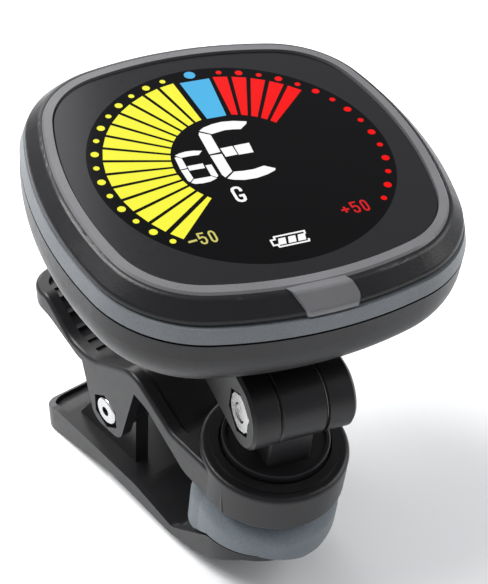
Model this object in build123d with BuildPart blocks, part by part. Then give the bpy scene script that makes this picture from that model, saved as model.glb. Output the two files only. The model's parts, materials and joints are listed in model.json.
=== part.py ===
from build123d import *
from math import cos, radians, sin
import os

# A clip-on instrument tuner: a rounded-square display head on a clevis hinge, on a swivel disc,
# on the front boss of a sprung two-arm clip. Millimetres; +Z up; +Y towards the clip's handles.
# Clip pieces are drawn about the swivel centre, the middle of the swivel disc's top face.
# Head pieces are drawn about the middle of the display, +Y to the display's top, +Z out of it.

os.makedirs("parts", exist_ok=True)

# ---- placing ----
BOSS_TILT = 8.56         # the swivel axis leans this far forward, degrees
SWIVEL_REST = -16.0      # the head is stored turned this far about the swivel axis, degrees
HINGE_Y = -2.6           # hinge axis, from the swivel centre along the yoke
HINGE_H = 10.2           # hinge axis above the swivel disc
DISPLAY_Y = 20.63        # middle of the display, from the swivel centre
DISPLAY_H = 34.04

# ---- head ----
BULGE = 29.2             # each bulged side's centre lies this far past the middle
CORNER_INSET = 12.2      # corner radius is the half width less this
COVER_X, COVER_Y = 28.8, 29.3
BEZEL_X, BEZEL_Y = 28.05, 28.25
RING_X, RING_Y = 25.7, 25.7
LENS_X, LENS_Y = 24.25, 24.1
WALL = 1.6
COVER_BACK = -15.3
COVER_TOP = -4.8
COVER_ROUND = 8.0
BAND_LOW, BAND_TOP = -4.45, -2.45
BAND_TAPER = 16.0        # the band's side leans in towards the front
BEZEL_LOW, BEZEL_TOP = -2.15, 0.45
BEVEL = 2.0              # sloping edge of the bezel, with both its corners rounded
BEVEL_ROUND = 0.8
LEDGE_LOW, LEDGE_TOP = -2.5, -1.6
RING_TOP = 0.75
LENS_LOW, LENS_TOP = -0.9, 0.4
SKIRT_OUT = 1.9          # the bezel's skirt stands this far inside the bezel's outline
SKIRT_WALL = 1.2
SKIRT_LOW = -6.4
TAB_THICK = 0.4
TAB_LOW = -2.1           # lower end of the tab
TAB_ROUND = 0.8
TAB_CORNERS = [
    (-5.0, 0.2 - RING_Y), (3.0, 0.2 - RING_Y), (4.9, -BEZEL_Y - TAB_THICK), (-2.8, -BEZEL_Y - TAB_THICK)
]
POST_XY = 19.1           # case screw posts, in both directions
POST_R = 2.5
POST_TOP = -6.5
CASE_SCREW_R = 0.85
CASE_HEAD_R = 1.6
LCD_HALF = 21.3
BOARD_HALF = 24.0
BOARD_TOP, BOARD_LOW = -6.0, -7.2
CASE_SEAT = -12.0        # the case screws' heads sit on this plane
CASE_TIP = -3.0
LCD_LOW, LCD_TOP = -3.9, -1.75
GUIDE_LOW = -5.0
CELL_V = 8.5
PIEZO_V = -12.0
SOCKET_V, SOCKET_H = 4.0, -8.65
SOCKET_WIDE, SOCKET_TALL = 7.5, 2.6
BUTTON_H = -8.55
BUTTON_WIDE, BUTTON_TALL = 9.0, 2.8
BUTTON_GAP = 0.2
BUTTON_FACE = COVER_Y + 0.8      # outer face of the power button
BUTTON_FLANGE = COVER_Y - WALL - 1.2
BUTTON_STEM = 25.6               # inner end of its stem
BUTTON_TRAVEL = 0.5
SWITCH_GAP = 0.7                 # stem to switch, a little more than the travel
FIT = 0.05               # gap between pieces that touch

# ---- head hinge ----
KNUCKLE_R = 5.3
EAR_LEFT, EAR_RIGHT = -7.9, 7.4      # outer faces of the clevis ears
SLOT_LEFT, SLOT_RIGHT = -4.0, 3.3    # inner faces of the clevis ears
YOKE_LEFT, YOKE_RIGHT = -3.7, 3.0    # side faces of the yoke's knuckle
POST_BACK = 4.5          # the yoke's post reaches this far behind the hinge axis
SLOT_ROOM = 0.6          # room round the knuckle and post in the bracket
M3_R = 1.5
NUT_FLATS = 5.5
NUT_DEPTH = 2.0
HINGE_HEAD_R = 2.75
SCREW_TIP = EAR_LEFT + 0.3
HEX = 0.5 / cos(radians(30))   # corner radius of a hexagon, per unit across its flats

# ---- swivel ----
DISC_R = 7.85
DISC_THICK = 1.7
SPIGOT_R = 3.5
BOSS_R = 10.9
BOSS_LOW = -8.0
BOSS_TOP = -1.56
BOSS_LIP_R, BOSS_LIP_TOP = 9.44, -1.07
WELL_R, WELL_FLOOR = 8.2, -1.9
BOSS_FLOOR_LOW = -4.4
BOSS_CAVITY_R = 8.6
SWIVEL_SCREW_R = 1.25
SWIVEL_SCREW_TIP = 3.0
RUNNING = 0.06           # running clearance, radial

# ---- clip ----
ARM_HALF = 10.8          # half width of both arms
ARM_END_R = 5.0          # plan radius at the handle ends
PIVOT_Y, PIVOT_Z = 28.0, -9.0
GROUND = -25.0
UPPER_END = 49.5
LOWER_END = 49.6
RIM = 2.1                # rim left around the upper arm's recess
TRAY_RIM = 1.2           # rim left around the lower arm's tray
RECESS = 0.8
FLOOR_THICK = 1.2
CHEEK_IN = 9.0
LUG_IN, LUG_OUT = 4.9, 7.3
LUG_BOSS_OUT = 8.7
LUG_BOSS_R = 3.6
FOOT_Y = 12.0            # the foot is a low rib across the lower arm
FOOT_WIDE, FOOT_DEEP, FOOT_TALL = 14.0, 3.0, 2.6
PIN_R = 1.5
PIN_HEAD_R = 2.35
PIN_SEAT = 9.9           # floor of the hexagonal recess in each cheek
PAD_MEET = -9.5        # the closed pads meet on this plane below the swivel disc
PAD_GAP = 0.3
PAD_SEAT_Z = -15.7
PAD_LOW = -17.3          # lowest edge of the lower pad's nose
PAD_ROUND = 3.0
UPPER_PAD_TAPER = 40.0
GROOVE_PITCH = 2.7
WIRE = 1.3
COIL_R = 2.75
COIL_HALF = 3.0
COIL_TURNS = 4
LEG_ANGLE = 35.0
LOWER_LEG, UPPER_LEG = 11.3, 5.2

UPPER_RIM = [
    (UPPER_END, 4.6), (43.0, 4.5), (37.0, -0.4), (31.5, -0.9), (19.9, 4.2), (11.0, -1.4), (-1.0, -2.2)
]
UPPER_RIM_R = [0.0, 2.5, 6.0, 10.0, 5.0, 4.0, 0.0]
UPPER_UNDER = [
    (-1.0, -8.1), (8.0, -6.7), (16.5, -0.7), (20.0, 0.2), (23.0, -0.9), (34.5, -2.6), (42.5, 0.9),
    (UPPER_END, 2.0),
]
UPPER_UNDER_R = [0.0, 4.0, 4.0, 1.0, 1.0, 5.0, 10.0, 0.0]
LOWER_RIM = [
    (LOWER_END, -22.3), (44.0, -19.5), (31.0, -19.4), (21.0, -19.5), (11.5, -21.2), (2.5, PAD_SEAT_Z)
]
LOWER_RIM_R = [1.0, 6.0, 20.0, 10.0, 2.0, 2.5]
LOWER_UNDER = [
    (-7.5, -16.0), (-7.5, -16.7), (-3.5, -17.0), (5.5, -21.6), (12.0, -23.0), (29.0, -22.1),
    (46.0, -24.9), (LOWER_END, GROUND),
]
LOWER_UNDER_R = [0.3, 0.3, 4.0, 8.0, 12.0, 20.0, 0.0, 1.0]
RIM_ROUND = 0.7
RIM_FRONT = 12.0         # the rim's rounding starts behind this
TRAY_DEPTH = 0.9
RIDGE_COUNT = 6
RIDGE_PITCH = 2.2
RIDGE_HIGH = 0.35
RIDGE_REAR = UPPER_END - 4.0
PAD_REAR = 8.0
PAD_CORNER = 4.0
GROOVE_COUNT = 5
GROOVE_R = 0.45

boss_plane = Plane(
    origin=(0, 0, 0), x_dir=(1, 0, 0), z_dir=(0, -sin(radians(BOSS_TILT)), cos(radians(BOSS_TILT)))
)
yoke_plane = Plane(boss_plane.location * Location((0, 0, 0), (0, 0, SWIVEL_REST)))
display_plane = Plane(
    origin=yoke_plane.from_local_coords((0, DISPLAY_Y, DISPLAY_H)),
    x_dir=yoke_plane.x_dir,
    z_dir=yoke_plane.z_dir,
)
AXIS_V = HINGE_Y - DISPLAY_Y     # the hinge axis, from the middle of the display
AXIS_H = HINGE_H - DISPLAY_H


# ---- shared shapes ----
def head_outline(half_x, half_y):
    """The head's rounded square; two of these with different sizes are offsets of one another."""
    with BuildSketch() as outline:
        with Locations((-BULGE, 0)):
            Circle(half_x + BULGE)
        for x, y, half in ((BULGE, 0, half_x), (0, -BULGE, half_y), (0, BULGE, half_y)):
            with Locations((x, y)):
                Circle(half + BULGE, mode=Mode.INTERSECT)
        fillet(outline.vertices(), radius=min(half_x, half_y) - CORNER_INSET)
    return outline.sketch


def slab(half_x, half_y, low, top):
    """A plate of the head's outline."""
    with BuildPart() as plate:
        with BuildSketch(Plane.XY.offset(low)):
            add(head_outline(half_x, half_y))
        extrude(amount=top - low)
    return plate.part


def pan(half_x, half_y, low, top, round_low):
    """A plate of the head's outline, with its low edge rounded."""
    with BuildPart() as plate:
        add(slab(half_x, half_y, low, top))
        fillet(plate.faces().sort_by(Axis.Z)[0].edges(), radius=round_low)
    return plate.part


def crown(half_x, half_y, low, top):
    """A plate of the head's outline, with a soft bevel round its top."""
    with BuildPart() as plate:
        add(slab(half_x, half_y, low, top))
        chamfer(plate.faces().sort_by(Axis.Z)[-1].edges(), length=BEVEL)
        corners = plate.edges().filter_by(lambda edge: abs(edge.tangent_at(0.5).Z) < 0.1)
        fillet(corners.filter_by(lambda edge: edge.center().Z > low + 0.1), radius=BEVEL_ROUND)
    return plate.part


def corner_places():
    """The four case screw places."""
    return GridLocations(2 * POST_XY, 2 * POST_XY, 2, 2)


def rod(radius, low, high, y, z):
    """A round bar along X."""
    with BuildPart() as bar:
        with BuildSketch(Plane.YZ.offset(low)):
            with Locations((y, z)):
                Circle(radius)
        extrude(amount=high - low)
    return bar.part


def hex_bar(flats, low, high, y, z):
    """A hexagonal bar along X, given across its flats."""
    with BuildPart() as bar:
        with BuildSketch(Plane.YZ.offset(low)):
            with Locations((y, z)):
                RegularPolygon(radius=flats * HEX, side_count=6, rotation=30)
        extrude(amount=high - low)
    return bar.part


# ---- head pieces, about the middle of the display ----
def make_bracket():
    """The clevis bracket: two bars that run back from the hinge, then up into the cover."""
    low, top = AXIS_H - KNUCKLE_R, AXIS_H + KNUCKLE_R
    with BuildPart() as bracket:
        with BuildSketch(Plane.YZ.offset(EAR_LEFT)):
            with BuildLine():
                FilletPolyline(
                    (AXIS_V, low),
                    (-9.0, low),
                    (3.0, COVER_BACK - 4.0),
                    (5.0, COVER_BACK + WALL / 2),
                    (-14.5, COVER_BACK + WALL / 2),
                    (-16.0, top),
                    (AXIS_V, top),
                    radius=[6.0, 5.0, 0.0, 0.0, 2.0],
                )
                Line((AXIS_V, top), (AXIS_V, low))
            make_face()
            with Locations((AXIS_V, AXIS_H)):
                Circle(KNUCKLE_R)
        extrude(amount=EAR_RIGHT - EAR_LEFT)
        for face in bracket.faces().filter_by(Plane.YZ):
            chamfer(face.edges(), length=0.45)
        # the slot that the yoke's knuckle turns in
        with BuildSketch(Plane.YZ.offset(SLOT_LEFT)):
            with Locations((AXIS_V, AXIS_H)):
                Circle(KNUCKLE_R + SLOT_ROOM)
                Rectangle(14.0, 2 * (KNUCKLE_R + SLOT_ROOM), align=(Align.MAX, Align.CENTER))
            with Locations((AXIS_V + POST_BACK + SLOT_ROOM, AXIS_H)):
                Rectangle(10.0, KNUCKLE_R + SLOT_ROOM, align=(Align.MAX, Align.MAX))
        extrude(amount=SLOT_RIGHT - SLOT_LEFT, mode=Mode.SUBTRACT)
        seat = EAR_RIGHT - NUT_DEPTH
        add(rod(M3_R + 0.04, EAR_LEFT - 1, EAR_RIGHT + 1, AXIS_V, AXIS_H), mode=Mode.SUBTRACT)
        add(rod(HINGE_HEAD_R + 0.2, seat, EAR_RIGHT + 1, AXIS_V, AXIS_H), mode=Mode.SUBTRACT)
        add(
            hex_bar(NUT_FLATS + 0.7, EAR_LEFT - 1, EAR_LEFT + NUT_DEPTH, AXIS_V, AXIS_H),
            mode=Mode.SUBTRACT,
        )
    return bracket.part


def make_back_cover():
    with BuildPart() as cover:
        add(pan(COVER_X, COVER_Y, COVER_BACK, COVER_TOP, COVER_ROUND))
        add(make_bracket())
        cavity = pan(
            COVER_X - WALL, COVER_Y - WALL, COVER_BACK + WALL, COVER_TOP + 1, COVER_ROUND - WALL
        )
        add(cavity, mode=Mode.SUBTRACT)
        with BuildPart(mode=Mode.PRIVATE) as posts:
            with BuildSketch(Plane.XY.offset(COVER_BACK + WALL / 2)):
                with corner_places():
                    Circle(POST_R)
            extrude(amount=POST_TOP - COVER_BACK - WALL / 2)
            add(pan(COVER_X - FIT, COVER_Y - FIT, COVER_BACK, COVER_TOP, COVER_ROUND), mode=Mode.INTERSECT)
        add(posts)
        with BuildSketch(Plane.XY.offset(COVER_BACK - 1)):
            with corner_places():
                Circle(CASE_SCREW_R + 0.15)
        extrude(amount=20, mode=Mode.SUBTRACT)
        with BuildSketch(Plane.XY.offset(COVER_BACK - 1)):
            with corner_places():
                Circle(CASE_HEAD_R + 0.25)
        extrude(amount=CASE_SEAT - COVER_BACK + 1, mode=Mode.SUBTRACT)
        # slot for the charging socket, in the right side
        with BuildSketch(Plane.YZ.offset(COVER_X - 4)):
            with Locations((SOCKET_V, SOCKET_H)):
                SlotOverall(SOCKET_WIDE + 0.8, SOCKET_TALL + 0.6)
        extrude(amount=6, mode=Mode.SUBTRACT)
        # slot for the power button, in the top side
        with BuildSketch(Plane.XZ.offset(-COVER_Y - 1)):
            with Locations((0, BUTTON_H)):
                SlotOverall(BUTTON_WIDE + 2 * BUTTON_GAP, BUTTON_TALL + 2 * BUTTON_GAP)
        extrude(amount=5, mode=Mode.SUBTRACT)
    return cover.part


def make_mid_band():
    inner_x, inner_y = BEZEL_X - SKIRT_OUT + FIT, BEZEL_Y - SKIRT_OUT + FIT
    with BuildPart() as band:
        with BuildSketch(Plane.XY.offset(BAND_LOW)):
            add(head_outline(COVER_X, COVER_Y))
        extrude(amount=BAND_TOP - BAND_LOW, taper=BAND_TAPER)
        add(slab(inner_x, inner_y, BAND_LOW - 1, BAND_TOP + 1), mode=Mode.SUBTRACT)
    return band.part


def make_front_bezel():
    skirt_x, skirt_y = BEZEL_X - SKIRT_OUT, BEZEL_Y - SKIRT_OUT
    with BuildPart() as bezel:
        add(crown(BEZEL_X, BEZEL_Y, BEZEL_LOW, BEZEL_TOP))
        add(slab(skirt_x, skirt_y, SKIRT_LOW, BEZEL_LOW))
        # the seat of the trim ring, the window and the inside of the skirt
        add(slab(RING_X + FIT, RING_Y + FIT, LEDGE_TOP, BEZEL_TOP + 1), mode=Mode.SUBTRACT)
        add(slab(LCD_HALF + 0.6, LCD_HALF + 0.6, LEDGE_LOW - 1, LEDGE_TOP + 1), mode=Mode.SUBTRACT)
        add(slab(skirt_x - SKIRT_WALL, skirt_y - SKIRT_WALL, SKIRT_LOW - 1, LEDGE_LOW), mode=Mode.SUBTRACT)
        with BuildPart(mode=Mode.PRIVATE) as bosses:
            with BuildSketch(Plane.XY.offset(POST_TOP + FIT)):
                with corner_places():
                    Circle(POST_R - 0.5)
            extrude(amount=LEDGE_LOW - POST_TOP)
            add(slab(skirt_x - FIT, skirt_y - FIT, POST_TOP, LEDGE_TOP), mode=Mode.INTERSECT)
        add(bosses)
        with BuildSketch(Plane.XY.offset(POST_TOP)):
            with corner_places():
                Circle(CASE_SCREW_R)
        extrude(amount=CASE_TIP - POST_TOP, mode=Mode.SUBTRACT)
    return bezel.part


def make_trim_ring():
    with BuildPart() as ring:
        add(slab(RING_X, RING_Y, LEDGE_TOP + FIT, RING_TOP))
        chamfer(ring.faces().sort_by(Axis.Z)[-1].edges(), length=0.3)
        add(slab(LENS_X + FIT, LENS_Y + FIT, LENS_LOW - FIT, RING_TOP + 1), mode=Mode.SUBTRACT)
        add(slab(LENS_X - 0.9, LENS_Y - 0.9, LEDGE_TOP - 1, RING_TOP), mode=Mode.SUBTRACT)
        # the slanted tab that laps over the bezel at the bottom
        with BuildPart(mode=Mode.PRIVATE) as tab:
            lap_x, lap_y = BEZEL_X + TAB_THICK, BEZEL_Y + TAB_THICK
            add(crown(lap_x, lap_y, TAB_LOW, BEZEL_TOP + TAB_THICK / 2))
            add(crown(BEZEL_X + FIT, BEZEL_Y + FIT, BEZEL_LOW - 1, BEZEL_TOP + FIT), mode=Mode.SUBTRACT)
            with BuildSketch(Plane.XY.offset(TAB_LOW)):
                with BuildLine():
                    FilletPolyline(*TAB_CORNERS, radius=[0.0, 0.0, TAB_ROUND, TAB_ROUND], close=True)
                make_face()
            extrude(amount=BEZEL_TOP + 1 - TAB_LOW, mode=Mode.INTERSECT)
        add(tab)
    return ring.part


def make_display_lens():
    with BuildPart() as lens:
        add(slab(LENS_X, LENS_Y, LENS_LOW, LENS_TOP))
        chamfer(lens.faces().sort_by(Axis.Z)[-1].edges(), length=0.2)
    return lens.part


def make_lcd_panel():
    return slab(LCD_HALF, LCD_HALF, LCD_LOW, LCD_TOP)


def make_light_guide():
    return slab(LCD_HALF, LCD_HALF, GUIDE_LOW, LCD_LOW - FIT)


def make_lcd_carrier():
    """A tray under the light guide, with a wall round the glass."""
    with BuildPart() as carrier:
        add(slab(LCD_HALF + 1.3, LCD_HALF + 1.3, BOARD_TOP + FIT, LCD_LOW))
        add(slab(LCD_HALF + FIT, LCD_HALF + FIT, GUIDE_LOW - FIT, LCD_TOP), mode=Mode.SUBTRACT)
        with BuildSketch(Plane.XY.offset(BOARD_TOP - 1)):
            with corner_places():
                Circle(POST_R + 0.2)
        extrude(amount=8, mode=Mode.SUBTRACT)
    return carrier.part


def make_circuit_board():
    with BuildPart() as board:
        add(slab(BOARD_HALF, BOARD_HALF, BOARD_LOW, BOARD_TOP))
        with BuildSketch(Plane.XY.offset(BOARD_LOW - 1)):
            with corner_places():
                Circle(POST_R + 0.2)
        extrude(amount=4, mode=Mode.SUBTRACT)
    return board.part


def make_board_chips():
    """The main chip, the codec, the charger chip and a crystal, under the board."""
    with BuildPart() as chips:
        for x, y, wide, deep, tall in (
            (-17, 8, 7, 7, 1.0),
            (-17, -4, 5, 4, 0.9),
            (17, -6, 3, 3, 0.8),
            (17, -11, 3.2, 2.5, 0.8),
        ):
            with BuildSketch(Plane.XY.offset(BOARD_LOW - FIT)):
                with Locations((x, y)):
                    Rectangle(wide, deep)
            extrude(amount=-tall)
    return chips.part


def make_battery_cell():
    with BuildPart() as cell:
        with BuildSketch(Plane.XY.offset(COVER_BACK + WALL + FIT)):
            with Locations((0, CELL_V)):
                RectangleRounded(26, 22, 1.2)
        extrude(amount=4.0)
        fillet(cell.faces().sort_by(Axis.Z)[-1].edges(), radius=0.6)
    return cell.part


def make_piezo_sensor():
    """A brass disc with the smaller ceramic disc on it."""
    with BuildPart() as sensor:
        for radius, low, thick in ((7.5, FIT, 0.25), (5.5, FIT + 0.25, 0.25)):
            with BuildSketch(Plane.XY.offset(COVER_BACK + WALL + low)):
                with Locations((0, PIEZO_V)):
                    Circle(radius)
            extrude(amount=thick)
    return sensor.part


def make_charging_socket():
    """A metal shell, open to the right, with its tongue inside."""
    with BuildPart() as socket:
        with BuildSketch(Plane.YZ.offset(COVER_X - WALL - 5.5)):
            with Locations((SOCKET_V, SOCKET_H)):
                SlotOverall(SOCKET_WIDE, SOCKET_TALL)
        extrude(amount=6.3)
        with BuildSketch(Plane.YZ.offset(COVER_X - WALL - 5.0)):
            with Locations((SOCKET_V, SOCKET_H)):
                SlotOverall(SOCKET_WIDE - 0.6, SOCKET_TALL - 0.6)
        extrude(amount=6.3, mode=Mode.SUBTRACT)
        with BuildSketch(Plane.YZ.offset(COVER_X - WALL - 5.2)):
            with Locations((SOCKET_V, SOCKET_H)):
                Rectangle(4.0, 0.6)
        extrude(amount=5.0)
    return socket.part


def make_tactile_switch():
    """A side-pressed switch under the board's top edge."""
    face_v = BUTTON_STEM - SWITCH_GAP
    with BuildPart() as switch:
        with BuildSketch(Plane.XZ.offset(-face_v + 0.6)):
            with Locations((0, BUTTON_H)):
                Rectangle(4.5, 2.6)
        extrude(amount=3.0)
        with BuildSketch(Plane.XZ.offset(-face_v)):
            with Locations((0, BUTTON_H)):
                Rectangle(1.8, 1.0)
        extrude(amount=1.0)
    return switch.part


def make_power_button():
    """A pill that stands out of the top side, with a flange and a stem inside."""
    with BuildPart() as button:
        with BuildSketch(Plane.XZ.offset(-BUTTON_FACE)):
            with Locations((0, BUTTON_H)):
                SlotOverall(BUTTON_WIDE, BUTTON_TALL)
        extrude(amount=BUTTON_FACE - BUTTON_FLANGE)
        fillet(button.faces().sort_by(Axis.Y)[-1].edges(), radius=0.4)
        with BuildSketch(Plane.XZ.offset(-BUTTON_FLANGE)):
            with Locations((0, BUTTON_H)):
                SlotOverall(BUTTON_WIDE + 1.6, BUTTON_TALL)
        extrude(amount=0.7)
        with BuildSketch(Plane.XZ.offset(-BUTTON_FLANGE)):
            with Locations((0, BUTTON_H)):
                Rectangle(2.2, 1.6)
        extrude(amount=BUTTON_FLANGE - BUTTON_STEM)
    return button.part


def make_case_screws():
    with BuildPart() as screws:
        with BuildSketch(Plane.XY.offset(CASE_SEAT - 1.3)):
            with corner_places():
                Circle(CASE_HEAD_R)
        extrude(amount=1.3 - FIT)
        with BuildSketch(Plane.XY.offset(CASE_SEAT - 1)):
            with corner_places():
                Circle(CASE_SCREW_R - 0.02)
        extrude(amount=CASE_TIP - CASE_SEAT + 0.8)
        # cross recesses
        with BuildSketch(Plane.XY.offset(CASE_SEAT - 1.3)):
            with corner_places():
                Rectangle(2.0, 0.45)
                Rectangle(0.45, 2.0)
        extrude(amount=0.7, mode=Mode.SUBTRACT)
    return screws.part


def make_hinge_screw():
    """The M3 hinge screw: its domed head on the right, its end in the nut on the left."""
    with BuildPart() as screw:
        add(rod(M3_R, SCREW_TIP, EAR_RIGHT - NUT_DEPTH + FIT, AXIS_V, AXIS_H))
        chamfer(screw.faces().sort_by(Axis.X)[0].edges(), length=0.3)
        with BuildPart(mode=Mode.PRIVATE) as dome:
            add(rod(HINGE_HEAD_R, EAR_RIGHT - NUT_DEPTH + FIT, EAR_RIGHT - 0.15, AXIS_V, AXIS_H))
            fillet(dome.faces().sort_by(Axis.X)[-1].edges(), radius=0.9)
            with BuildSketch(Plane.YZ.offset(EAR_RIGHT - 1.0)):
                with Locations((AXIS_V, AXIS_H)):
                    Rectangle(2.8, 0.6)
                    Rectangle(0.6, 2.8)
            extrude(amount=2, mode=Mode.SUBTRACT)
        add(dome)
    return screw.part


def make_hinge_nut():
    with BuildPart() as nut:
        add(hex_bar(NUT_FLATS, EAR_LEFT + 0.1, EAR_LEFT + NUT_DEPTH - FIT, AXIS_V, AXIS_H))
        with BuildPart(mode=Mode.PRIVATE) as rounding:
            add(rod(NUT_FLATS * HEX + 0.05, EAR_LEFT, EAR_LEFT + NUT_DEPTH, AXIS_V, AXIS_H))
            chamfer(rounding.faces().sort_by(Axis.X)[0].edges(), length=0.5)
        add(rounding, mode=Mode.INTERSECT)
        add(rod(M3_R + 0.02, EAR_LEFT - 1, EAR_RIGHT, AXIS_V, AXIS_H), mode=Mode.SUBTRACT)
    return nut.part


# ---- swivel pieces, about the swivel centre, turned with the yoke ----
def make_swivel_yoke():
    """A disc with a rim and a spigot below, and a post with the middle knuckle above."""
    with BuildPart() as yoke:
        with BuildSketch(Plane.XY.offset(-DISC_THICK)):
            Circle(DISC_R)
        extrude(amount=DISC_THICK)
        chamfer(yoke.faces().sort_by(Axis.Z)[-1].edges(), length=0.15)
        with BuildSketch():
            Circle(DISC_R - 0.6)
        extrude(amount=-0.35, mode=Mode.SUBTRACT)
        with BuildSketch(Plane.XY.offset(-DISC_THICK)):
            Circle(SPIGOT_R)
        extrude(amount=BOSS_FLOOR_LOW + DISC_THICK - FIT)
        with BuildPart(mode=Mode.PRIVATE) as post:
            with BuildSketch(Plane.YZ.offset(YOKE_LEFT)):
                with Locations((HINGE_Y, HINGE_H)):
                    Circle(KNUCKLE_R)
                with BuildLine():
                    Polyline(
                        (HINGE_Y - 2.6, -0.5),
                        (HINGE_Y + POST_BACK, -0.5),
                        (HINGE_Y + POST_BACK, HINGE_H - 2.6),
                        (HINGE_Y, HINGE_H),
                        (HINGE_Y - 2.6, HINGE_H - 4.6),
                        close=True,
                    )
                make_face()
            extrude(amount=YOKE_RIGHT - YOKE_LEFT)
            for face in post.faces().filter_by(Plane.YZ):
                chamfer(face.edges(), length=0.25)
        add(post)
        add(rod(M3_R + RUNNING, YOKE_LEFT - 1, YOKE_RIGHT + 1, HINGE_Y, HINGE_H), mode=Mode.SUBTRACT)
        with BuildSketch(Plane.XY.offset(BOSS_FLOOR_LOW - 1)):
            Circle(SWIVEL_SCREW_R + 0.03)
        extrude(amount=SWIVEL_SCREW_TIP - BOSS_FLOOR_LOW + 1, mode=Mode.SUBTRACT)
    return yoke.part


def make_friction_washers():
    with BuildPart() as washers:
        for low in (YOKE_RIGHT + FIT, SLOT_LEFT + FIT):
            with BuildSketch(Plane.YZ.offset(low)):
                with Locations((HINGE_Y, HINGE_H)):
                    Circle(KNUCKLE_R - 0.6)
                    Circle(M3_R + 0.1, mode=Mode.SUBTRACT)
            extrude(amount=SLOT_RIGHT - YOKE_RIGHT - 2 * FIT)
    return washers.part


def make_swivel_washer():
    with BuildPart() as washer:
        with BuildSketch(Plane.XY.offset(BOSS_FLOOR_LOW - 0.1)):
            Circle(5.8)
            Circle(SWIVEL_SCREW_R + 0.1, mode=Mode.SUBTRACT)
        extrude(amount=-0.6)
    return washer.part


def make_swivel_screw():
    seat = BOSS_FLOOR_LOW - 0.75
    with BuildPart() as screw:
        with BuildSketch(Plane.XY.offset(seat)):
            Circle(2.6)
        extrude(amount=-1.5)
        fillet(screw.faces().sort_by(Axis.Z)[0].edges(), radius=0.6)
        with BuildSketch(Plane.XY.offset(seat - 0.5)):
            Circle(SWIVEL_SCREW_R)
        extrude(amount=SWIVEL_SCREW_TIP - seat)
        with BuildSketch(Plane.XY.offset(seat - 1.5)):
            Rectangle(2.8, 0.6)
            Rectangle(0.6, 2.8)
        extrude(amount=0.8, mode=Mode.SUBTRACT)
    return screw.part


# ---- clip pieces, about the swivel centre ----
def side_bar(points, radii, half):
    """A bar along X with the filleted side view that the points give."""
    with BuildPart() as bar:
        with BuildSketch(Plane.YZ):
            with BuildLine():
                FilletPolyline(*points, radius=radii, close=True)
            make_face()
        extrude(amount=half, both=True)
    return bar.part


def arm_plan(half, front, end, front_r, end_r):
    """An arm's outline from above, as a tall block to cut with."""
    with BuildPart() as block:
        with BuildSketch(Plane.XY.offset(GROUND - 1)):
            with Locations((0, front)):
                Rectangle(2 * half, end - front, align=(Align.CENTER, Align.MIN))
        extrude(amount=-2 * GROUND)
        upright = block.edges().filter_by(Axis.Z).group_by(Axis.Y)
        fillet(upright[-1], radius=end_r)
        if front_r:
            fillet(block.edges().filter_by(Axis.Z).group_by(Axis.Y)[0], radius=front_r)
    return block.part


def lowered(points, drop):
    return [(y, z - drop) for y, z in points]


def rim_height(y):
    """Height of the upper arm's rim, on the straight lines between its corner points."""
    for (rear, high), (front, low) in zip(UPPER_RIM, UPPER_RIM[1:]):
        if front <= y <= rear:
            return low + (high - low) * (y - front) / (rear - front)
    return UPPER_RIM[-1][1]


def rim_edges(part):
    """The edges along the upper arm's rim: not upright, and not across the arm except at its end."""
    side = ARM_HALF - ARM_END_R
    edges = part.edges().filter_by(lambda edge: abs(edge.tangent_at(0.5).Z) < 0.9)
    edges = edges.filter_by(lambda edge: abs(edge.center().X) > side or edge.center().Y > UPPER_END - 0.01)
    edges = edges.filter_by(lambda edge: edge.center().Y > RIM_FRONT)
    return edges.filter_by(lambda edge: edge.center().Z > rim_height(edge.center().Y) - RECESS)


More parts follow.
